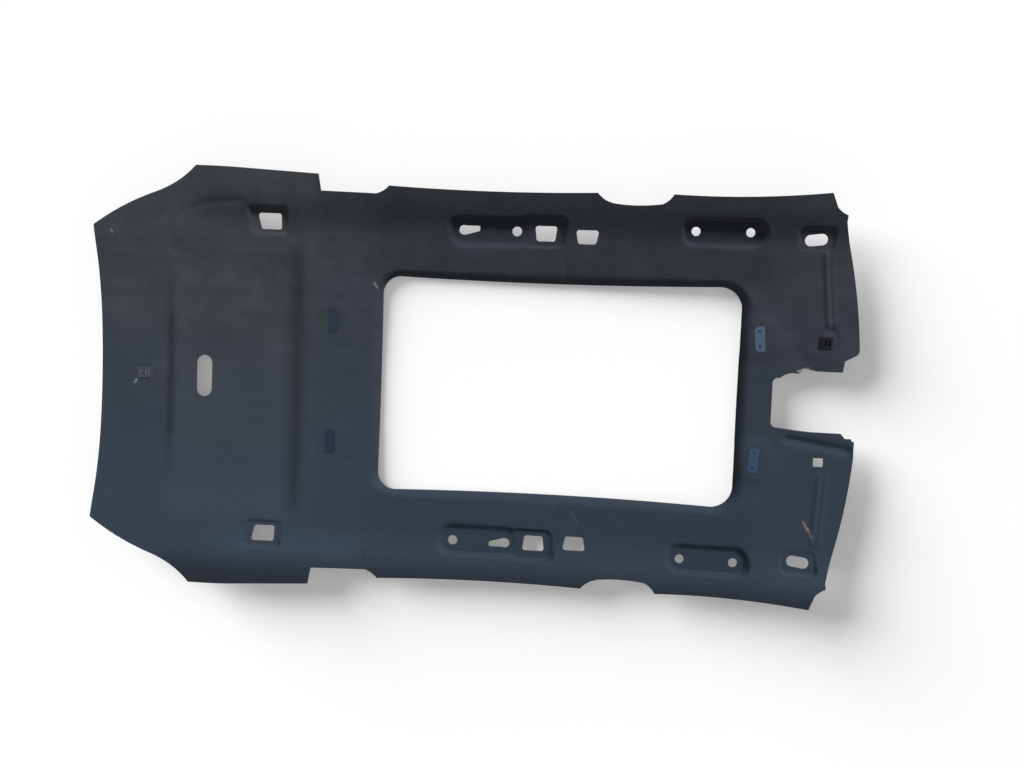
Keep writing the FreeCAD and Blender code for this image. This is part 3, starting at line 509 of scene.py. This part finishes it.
def rounded(corners, radius, steps=7):
    """Closed outline through the corners, each turned by an arc of the radius."""
    corners = np.array(corners, float)
    parts = []
    for before, here, after in zip(np.roll(corners, 1, 0), corners, np.roll(corners, -1, 0)):
        back_way = (before - here) / np.hypot(*(before - here))
        on_way = (after - here) / np.hypot(*(after - here))
        half = np.arccos(np.clip(back_way @ on_way, -1, 1)) / 2
        centre = here + (back_way + on_way) / np.hypot(*(back_way + on_way)) * radius / np.sin(half)
        start = here + back_way * radius / np.tan(half) - centre
        stop = here + on_way * radius / np.tan(half) - centre
        first = np.arctan2(start[1], start[0])
        sweep = (np.arctan2(stop[1], stop[0]) - first + np.pi) % (2 * np.pi) - np.pi
        angle = first + sweep * np.linspace(0, 1, steps)
        parts.append(centre + radius * np.stack([np.cos(angle), np.sin(angle)], 1))
    return np.concatenate(parts)


def block(length, width, radius, turned=0.0, taper=(0.0, 0.0), side=1):
    """A rounded rectangle; tapers draw in the rear and front corners on its inboard side."""
    half, out = length / 2, width / 2 * side
    outline = rounded([(half, out), (-half, out), (-half + taper[0], -out), (half - taper[1], -out)], radius)
    c, s = np.cos(np.radians(turned)), np.sin(np.radians(turned))
    return outline @ np.array([[c, s], [-s, c]])


# the keyway beside a bolt hole, from the hole's middle: how far along and how far outboard
KEYWAY = [(0, -12), (6, -12), (41.5, -1.7), (41.5, 11.5), (0, 11.5)]
holes, keyways = [], []
for side in (1, -1):
    for end in (-1, 1):
        holes.append(block(25, 25, 12.4) + (46 + end * 68.5, side * 404))
        holes.append(block(23, 23, 11.4) + (631 + end * 66.5, side * 416))
    keyways.append(rounded([(46 - side * (68.5 - along), side * (404 + out)) for along, out in KEYWAY], 2.0))
    holes.append(block(57, 39, 7, 0, (5, 5), side) + (189, side * 400))
    holes.append(block(59, 35, 7, 0, (7, 7), side) + (294, side * 393))
    holes.append(block(62, 41, 7, 0, (9, 0), side) + (-524, side * 407))
    holes.append(block(55, 28, 13.9, side * 7) + (852, side * 400))
    holes.append(block(25, 22, 2.5) + (891, side * 149))
holes.append(block(41, 109, 20.4) + (-695, 0))
holes.append(block(26, 14, 1.0) + (-850, 0))


# the punches reach from below the whole board to above it
punch_low, punch_high = -60, 160


def punches(outlines):
    """One mesh of upright prisms over the outlines, with flat ends."""
    verts, faces = [], []
    for outline in outlines:
        if np.sum(outline[:, 0] * np.roll(outline[:, 1], -1) - np.roll(outline[:, 0], -1) * outline[:, 1]) < 0:
            outline = outline[::-1]
        n, first = len(outline), len(verts)
        for height in (punch_low, punch_high):
            verts.extend(tuple(np.append(p, height) * MM + to_frame) for p in outline)
        faces.append([first + i for i in range(n)][::-1])
        faces.append([first + n + i for i in range(n)])
        faces.extend([first + i, first + (i + 1) % n, first + n + (i + 1) % n, first + n + i] for i in range(n))
    mesh = bpy.data.meshes.new("punches")
    mesh.from_pydata(verts, [], faces)
    return mesh


def punched(piece, outlines):
    """Takes the outlines out of the piece, and keeps the result as its plain mesh."""
    tool = bpy.data.objects.new("punches", punches(outlines))
    bpy.context.scene.collection.objects.link(tool)
    cut = piece.modifiers.new("holes", "BOOLEAN")
    cut.operation, cut.solver, cut.object = "DIFFERENCE", "EXACT", tool
    result = bpy.data.meshes.new_from_object(piece.evaluated_get(bpy.context.evaluated_depsgraph_get()))
    piece.modifiers.clear()
    piece.data = result
    bpy.data.objects.remove(tool)


# the keyways overlap their bolt holes, so they are a second cut
punched(board, holes)
punched(board, keyways)
board.data.shade_smooth()
board.data.set_sharp_from_angle(angle=np.radians(38))

# ---------------------------------------------------------------- headliner board: knit facing
# The face is a short charcoal knit over foam: matte, with a faint pile sheen, soft patches of wear and a bluer
# cast towards the left side. Painted shade darkens its broad parts except the rear field and right wing, and dark
# lines of painted shade run along the two rear steps and a fold. Scuffs, lint and a brown rub mark are where use has
# left them.


def add(tree, kind, **settings):
    """A new node of that kind with those settings."""
    node = tree.nodes.new(kind)
    for key, setting in settings.items():
        setattr(node, key, setting)
    return node


def effect_group(name, inputs, outputs):
    """An empty shader node group with those sockets: (name, kind, default) in, (name, kind) out."""
    group = bpy.data.node_groups.new(name, "ShaderNodeTree")
    for label, kind, default in inputs:
        socket = group.interface.new_socket(label, in_out="INPUT", socket_type=kind)
        socket.default_value = default
    for label, kind in outputs:
        group.interface.new_socket(label, in_out="OUTPUT", socket_type=kind)
    return group, add(group, "NodeGroupInput"), add(group, "NodeGroupOutput")


def wired(tree, kind, sources, out=0, **settings):
    """A node with its inputs set from sockets or plain values, in order; None leaves one alone."""
    node = add(tree, kind, **settings)
    for socket, source in zip(node.inputs, sources):
        if source is None:
            continue
        if isinstance(source, bpy.types.NodeSocket):
            tree.links.new(source, socket)
        else:
            socket.default_value = source
    return node.outputs[out]


def math_node(tree, operation, *sources):
    """The value that the operation makes of the sources."""
    return wired(tree, "ShaderNodeMath", sources, operation=operation)


def vector_node(tree, operation, *sources, out=0):
    """The vector that the operation makes of the sources, or with out=1 its value."""
    return wired(tree, "ShaderNodeVectorMath", sources, out=out, operation=operation)


def eased(tree, source, low, high):
    """0 at low and 1 at high with an even S between; low may be above high."""
    return wired(tree, "ShaderNodeMapRange", [source, low, high, 0.0, 1.0], interpolation_type="SMOOTHSTEP")


def noise(tree, place, scale, detail):
    """Even noise between 0 and 1, of that scale and detail."""
    node = add(tree, "ShaderNodeTexNoise")
    node.inputs["Scale"].default_value = scale
    node.inputs["Detail"].default_value = detail
    tree.links.new(place, node.inputs["Vector"])
    return node.outputs["Fac"]


def build_line_mark():
    """Mask of a mark along From-To: 1 on the line and 0 beyond Width, broken up by a fine noise."""
    group, given, result = effect_group(
        "line_mark",
        [("Place", "NodeSocketVector", (0, 0, 0)), ("From", "NodeSocketVector", (0, 0, 0)),
         ("To", "NodeSocketVector", (1, 0, 0)), ("Width", "NodeSocketFloat", 0.004),
         ("Breakup", "NodeSocketFloat", 0.5)],
        [("Mask", "NodeSocketFloat")])
    place, start, stop, width, breakup = (given.outputs[i] for i in range(5))
    flat = vector_node(group, "MULTIPLY", place, (1.0, 1.0, 0.0))
    along = vector_node(group, "SUBTRACT", stop, start)
    off = vector_node(group, "SUBTRACT", flat, start)
    share = math_node(group, "DIVIDE", vector_node(group, "DOT_PRODUCT", off, along, out=1),
                      vector_node(group, "DOT_PRODUCT", along, along, out=1))
    held = wired(group, "ShaderNodeClamp", [share, 0.0, 1.0])
    scaled = add(group, "ShaderNodeVectorMath", operation="SCALE")
    group.links.new(along, scaled.inputs[0])
    group.links.new(held, scaled.inputs["Scale"])
    nearest = vector_node(group, "ADD", start, scaled.outputs[0])
    gap = vector_node(group, "DISTANCE", flat, nearest, out=1)
    off_mean = math_node(group, "SUBTRACT", noise(group, place, 90.0, 3.0), 0.5)
    wobble = math_node(group, "MULTIPLY", math_node(group, "MULTIPLY", off_mean, breakup), 2.0)
    ratio = math_node(group, "ADD", math_node(group, "DIVIDE", gap, width), wobble)
    group.links.new(eased(group, ratio, 1.0, 0.0), result.inputs[0])
    return group


def build_knit_pile():
    """Fine pile: height of two crossed noises stretched along and across, with a mottled tone from larger ones."""
    group, given, result = effect_group(
        "knit_pile",
        [("Place", "NodeSocketVector", (0, 0, 0)), ("Fineness", "NodeSocketFloat", 900.0),
         ("Patch Size", "NodeSocketFloat", 14.0)],
        [("Height", "NodeSocketFloat"), ("Tone", "NodeSocketFloat")])
    place, fineness, patch = (given.outputs[i] for i in range(3))

    def fine(stretch, scale_by):
        """Noise stretched by those factors along each axis, as fine as Fineness times scale_by."""
        node = add(group, "ShaderNodeTexNoise")
        node.inputs["Detail"].default_value = 2.0
        group.links.new(vector_node(group, "MULTIPLY", place, stretch), node.inputs["Vector"])
        group.links.new(math_node(group, "MULTIPLY", fineness, scale_by), node.inputs["Scale"])
        return node.outputs["Fac"]

    rows = fine((1.0, 0.45, 1.0), 1.0)
    wales = fine((0.45, 1.0, 1.0), 0.8)
    height = math_node(group, "ADD", math_node(group, "MULTIPLY", rows, 0.6),
                       math_node(group, "MULTIPLY", wales, 0.4))
    broad = add(group, "ShaderNodeTexNoise")
    broad.inputs["Detail"].default_value = 4.0
    broad.inputs["Roughness"].default_value = 0.62
    group.links.new(place, broad.inputs["Vector"])
    group.links.new(patch, broad.inputs["Scale"])
    streaks = fine((0.02, 0.3, 0.3), 0.12)
    tone = math_node(group, "ADD", math_node(group, "MULTIPLY", broad.outputs["Fac"], 0.7),
                     math_node(group, "MULTIPLY", streaks, 0.3))
    group.links.new(height, result.inputs[0])
    group.links.new(tone, result.inputs[1])
    return group


line_mark, knit_pile = build_line_mark(), build_knit_pile()


def mixed(tree, share, first, second, blend="MIX"):
    """Colour between two, by share."""
    node = add(tree, "ShaderNodeMix", data_type="RGBA", blend_type=blend)
    for socket, source in ((node.inputs[0], share), (node.inputs[6], first), (node.inputs[7], second)):
        if isinstance(source, bpy.types.NodeSocket):
            tree.links.new(source, socket)
        else:
            socket.default_value = source
    return node.outputs[2]


def new_finish(name, roughness, gloss, sheen=0.0):
    """A material with those constant values, its node tree, its shader and the place on the object."""
    finish = bpy.data.materials.new(name)
    finish.use_nodes = True
    tree = finish.node_tree
    shader = tree.nodes["Principled BSDF"]
    shader.inputs["Roughness"].default_value = roughness
    shader.inputs["Specular IOR Level"].default_value = gloss
    shader.inputs["Sheen Weight"].default_value = sheen
    place = add(tree, "ShaderNodeTexCoord").outputs["Object"]
    return finish, tree, shader, place


def raise_pile(tree, shader, pile, strength, depth):
    """Bump from the pile's height, that deep in metres."""
    bump = add(tree, "ShaderNodeBump")
    bump.inputs["Strength"].default_value = strength
    bump.inputs["Distance"].default_value = depth
    tree.links.new(pile.outputs["Height"], bump.inputs["Height"])
    tree.links.new(bump.outputs["Normal"], shader.inputs["Normal"])


def placed_group(tree, group, **sources):
    """A node of the shared group, its sockets set by name, with _ for a space."""
    node = add(tree, "ShaderNodeGroup", node_tree=group)
    for label, source in sources.items():
        socket = node.inputs[label.replace("_", " ")]
        if isinstance(source, bpy.types.NodeSocket):
            tree.links.new(source, socket)
        else:
            socket.default_value = source
    return node


# painted shade for the steps and for a fold; colours of a crack, of lint and of the scuff
step_painted_shade, crack_shade, fold_painted_shade = (0.008, 0.009, 0.012, 1), (0.008, 0.009, 0.011, 1), (0.018, 0.020, 0.026, 1)
lint_shade, scuff_shade = (0.30, 0.33, 0.36, 1), (0.20, 0.22, 0.25, 1)
# marks on the face: from, to (mm about the drawing's origin), half width in mm, strength, how broken up, shade; the
# first two are painted shade along the steps, and the last two painted shade along a fold
MARKS = [
    ((-452, -330), (-452, 320), 44, 0.30, 0.1, step_painted_shade),
    ((-782, -150), (-782, 150), 21, 0.42, 0.1, step_painted_shade),
    ((-250, 258), (-243, 248), 4, 0.60, 0.6, (0.30, 0.32, 0.35, 1)),
    ((862, -300), (872, -318), 5, 0.55, 0.6, (0.33, 0.24, 0.15, 1)),
    ((874, -318), (882, -337), 5, 0.45, 0.6, (0.30, 0.22, 0.14, 1)),
    ((284, -312), (300, -340), 3, 0.17, 0.6, scuff_shade),
    ((-876, -24), (-872, -17), 5, 0.60, 0.6, lint_shade),
    ((-930, 368), (-926, 362), 4, 0.45, 0.6, lint_shade),
    ((-918, -424), (-914, -420), 4, 0.45, 0.6, (0.34, 0.36, 0.38, 1)),
    ((-254, -430), (-242, -466), 1.6, 0.80, 0.6, crack_shade),
    ((832, 77), (854, 84), 5, 0.80, 0.6, (0.36, 0.38, 0.41, 1)),
    ((-415, -206), (-359, -217), 1.8, 0.55, 0.6, fold_painted_shade),
    ((-359, -217), (-294, -195), 1.8, 0.50, 0.6, fold_painted_shade),
]


def on_floor(place):
    """A place of the drawing in the frame's metres, at height 0."""
    return (place[0] * MM + to_frame[0], place[1] * MM, 0.0)


def build_knit_finish():
    """Mottled charcoal, bluer to the left side, times painted shade over each broad part, then grain and marks over
    it, some marks painted shade. Each pair of lengths is where a change begins and where it is full."""
    finish, tree, shader, place = new_finish("charcoal_knit", 0.92, 0.15, 0.05)
    shader.inputs["Sheen Roughness"].default_value = 0.6
    pile = placed_group(tree, knit_pile, Place=place)
    mottle = eased(tree, pile.outputs["Tone"], 0.3, 0.7)
    colour = mixed(tree, mottle, (0.031, 0.036, 0.041, 1), (0.049, 0.054, 0.060, 1))
    along, across = (wired(tree, "ShaderNodeSeparateXYZ", [place], out=k) for k in (0, 1))
    off_middle = math_node(tree, "ABSOLUTE", across)
    colour = mixed(tree, eased(tree, across, 0.35, -0.35), colour, (0.028, 0.042, 0.062, 1))

    def both(first, second):
        """The product of two shares."""
        return math_node(tree, "MULTIPLY", first, second)

    # the rear field and the right wing keep the plain knit colour; painted shade below darkens the rest
    right_wing = both(eased(tree, along, -0.36, -0.44), eased(tree, across, 0.02, 0.2))
    rear_field = both(eased(tree, along, -0.36, -0.46), eased(tree, along, -0.81, -0.76))
    rear_field = both(rear_field, eased(tree, off_middle, 0.42, 0.34))
    unshaded_parts = math_node(tree, "MAXIMUM", rear_field, right_wing)
    side_strips = both(eased(tree, off_middle, 0.26, 0.31), eased(tree, along, -0.32, -0.2))
    side_strips = both(side_strips, eased(tree, along, 0.84, 0.70))
    flanges = math_node(tree, "SUBTRACT", eased(tree, off_middle, 0.43, 0.52), right_wing)
    # painted shade: all but those parts darker and bluer, the side strips darker, the right strip more so, the
    # flanges darker and the left outer edge darkest
    for share, tone in (
        (math_node(tree, "SUBTRACT", 1.0, unshaded_parts), (0.80, 0.86, 0.95, 1)),
        (side_strips, (0.82, 0.84, 0.86, 1)),
        (both(side_strips, eased(tree, across, 0.26, 0.30)), (0.84, 0.84, 0.86, 1)),
        (flanges, (0.66, 0.66, 0.68, 1)),
        (eased(tree, across, -0.44, -0.53), (0.46, 0.49, 0.53, 1)),
    ):
        colour = mixed(tree, share, colour, tone, "MULTIPLY")
    grain = eased(tree, pile.outputs["Height"], 0.38, 0.62)
    colour = mixed(tree, math_node(tree, "MULTIPLY", grain, 0.22), colour, (0.070, 0.078, 0.090, 1))
    for start, stop, half_width, strength, breakup, shade in MARKS:
        mark = placed_group(tree, line_mark, Place=place, From=on_floor(start), To=on_floor(stop),
                            Width=half_width * MM, Breakup=breakup)
        colour = mixed(tree, math_node(tree, "MULTIPLY", mark.outputs[0], strength), colour, shade)
    tree.links.new(colour, shader.inputs["Base Color"])
    raise_pile(tree, shader, pile, 0.35, 0.0006)
    return finish


board.data.materials.clear()
board.data.materials.append(build_knit_finish())
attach(board, "root")
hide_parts("headliner_panel")

# ---------------------------------------------------------------- fixing plates and clips
# Flat moulded plates with two holes each sit in shallow seats beside the opening: dark slate at the rear, a
# lighter slate blue at the front, the right one of each pair paler. The hook clip is black, the rear clip mid grey.


def moulded_finish(name, colour, roughness, wear, gloss=0.2):
    """Moulded plastic with a fine grain in its bump, worn towards a paler shade on the high spots of a noise."""
    finish, tree, shader, place = new_finish(name, roughness, gloss)
    pile = placed_group(tree, knit_pile, Place=place, Fineness=1400.0, Patch_Size=60.0)
    worn = eased(tree, pile.outputs["Tone"], 0.42, 0.72)
    pale = tuple(min(1.0, part * 1.9 + 0.02) for part in colour)
    worn_colour = mixed(tree, math_node(tree, "MULTIPLY", worn, wear), (*colour, 1), (*pale, 1))
    tree.links.new(worn_colour, shader.inputs["Base Color"])
    raise_pile(tree, shader, pile, 0.15, 0.0002)
    return finish


for name, finish in (
    ("fixing_plate_rear_right", moulded_finish("slate_moulding", (0.013, 0.024, 0.045), 0.5, 0.12)),
    ("fixing_plate_rear_left", moulded_finish("dark_slate_moulding", (0.008, 0.019, 0.041), 0.5, 0.12)),
    ("fixing_plate_front_right", moulded_finish("slate_blue_moulding", (0.066, 0.097, 0.160), 0.55, 0.3)),
    ("fixing_plate_front_left", moulded_finish("deep_blue_moulding", (0.032, 0.058, 0.118), 0.55, 0.2)),
    ("visor_hook_clip", moulded_finish("black_moulding", (0.004, 0.004, 0.006), 0.22, 0.25, 0.2)),
    ("rear_clip", moulded_finish("grey_moulding", (0.040, 0.047, 0.058), 0.5, 0.35, 0.3)),
):
    nodes[name].data.materials.clear()
    nodes[name].data.materials.append(finish)

# ---------------------------------------------------------------- floor, light and camera
# A pale plain floor that shows as white where nothing shades it, one soft lamp for the object from its front right
# and one for the floor from its rear right, and the camera above the cabin side.


def build_floor():
    """A flat square just under the object, pale and faintly glowing to the camera, dark to what lights the object."""
    size = 9.0
    mesh = bpy.data.meshes.new("floor")
    mesh.from_pydata([(-size, -size, -0.001), (size, -size, -0.001), (size, size, -0.001), (-size, size, -0.001)],
                     [], [(0, 1, 2, 3)])
    floor = bpy.data.objects.new("floor", mesh)
    bpy.context.scene.collection.objects.link(floor)
    finish = bpy.data.materials.new("pale_floor")
    finish.use_nodes = True
    tree = finish.node_tree
    shader = tree.nodes["Principled BSDF"]
    shader.inputs["Roughness"].default_value = 1.0
    shader.inputs["Specular IOR Level"].default_value = 0.0
    seen = add(tree, "ShaderNodeLightPath").outputs["Is Camera Ray"]
    tree.links.new(mixed(tree, seen, (0.22, 0.22, 0.22, 1), (0.85, 0.85, 0.85, 1)), shader.inputs["Base Color"])
    shader.inputs["Emission Color"].default_value = (1, 1, 1, 1)
    tree.links.new(math_node(tree, "MULTIPLY", seen, 0.21), shader.inputs["Emission Strength"])
    mesh.materials.append(finish)
    return floor


def build_world():
    """An even white room: full strength to the camera and in reflections, and a low fill for the rest."""
    world = bpy.data.worlds.new("studio")
    bpy.context.scene.world = world
    world.use_nodes = True
    tree = world.node_tree
    path = add(tree, "ShaderNodeLightPath")
    white = math_node(tree, "MAXIMUM", path.outputs["Is Camera Ray"], path.outputs["Is Glossy Ray"])
    background = tree.nodes["Background"]
    background.inputs["Color"].default_value = (1, 1, 1, 1)
    strength = wired(tree, "ShaderNodeMapRange", [white, 0.0, 1.0, 0.26, 1.0])
    tree.links.new(strength, background.inputs["Strength"])


def light_from(azimuth, elevation, power, softness, lit, name):
    """A far lamp from that side, in degrees from +X towards +Y and up from the floor, as wide as softness in degrees,
    for the things in lit alone."""
    lamp = bpy.data.lights.new(name, "SUN")
    lamp.energy, lamp.angle = power, np.radians(softness)
    item = bpy.data.objects.new(name, lamp)
    bpy.context.scene.collection.objects.link(item)
    turn, climb = np.radians(azimuth), np.radians(elevation)
    item.location = (4 * np.cos(climb) * np.cos(turn), 4 * np.cos(climb) * np.sin(turn), 4 * np.sin(climb))
    item.rotation_euler = item.location.to_track_quat("Z", "Y").to_euler()
    receivers = bpy.data.collections.new(name + "_lit")
    for thing in lit:
        receivers.objects.link(thing)
    item.light_linking.receiver_collection = receivers


floor = build_floor()
build_world()
light_from(60, 32, 3.9, 20, [board] + [item for name, item in nodes.items() if name != "headliner_panel"], "key")
light_from(145, 22, 5.7, 40, [floor], "floor_light")

camera_distance, camera_shift_y = 2.080, -0.0118
camera_tilt_x, camera_tilt_y, camera_tilt_z = 2.96, -3.0, -2.48
looked_at = Vector((0.118, 0, 0.01965))
view_turn = (Matrix.Rotation(np.radians(camera_tilt_z), 3, "Z") @ Matrix.Rotation(np.radians(camera_tilt_y), 3, "Y")
             @ Matrix.Rotation(np.radians(camera_tilt_x), 3, "X"))
back_turn = view_turn.transposed()
camera_data = bpy.data.cameras.new("camera")
camera_data.sensor_width, camera_data.lens = 36.0, 28.125
camera = bpy.data.objects.new("camera", camera_data)
bpy.context.scene.collection.objects.link(camera)
stand = back_turn @ Vector((0, -camera_shift_y, camera_distance)) + looked_at
camera.matrix_world = Matrix.Translation(stand) @ back_turn.to_4x4()
bpy.context.scene.camera = camera
bpy.context.scene.view_settings.view_transform = "Standard"
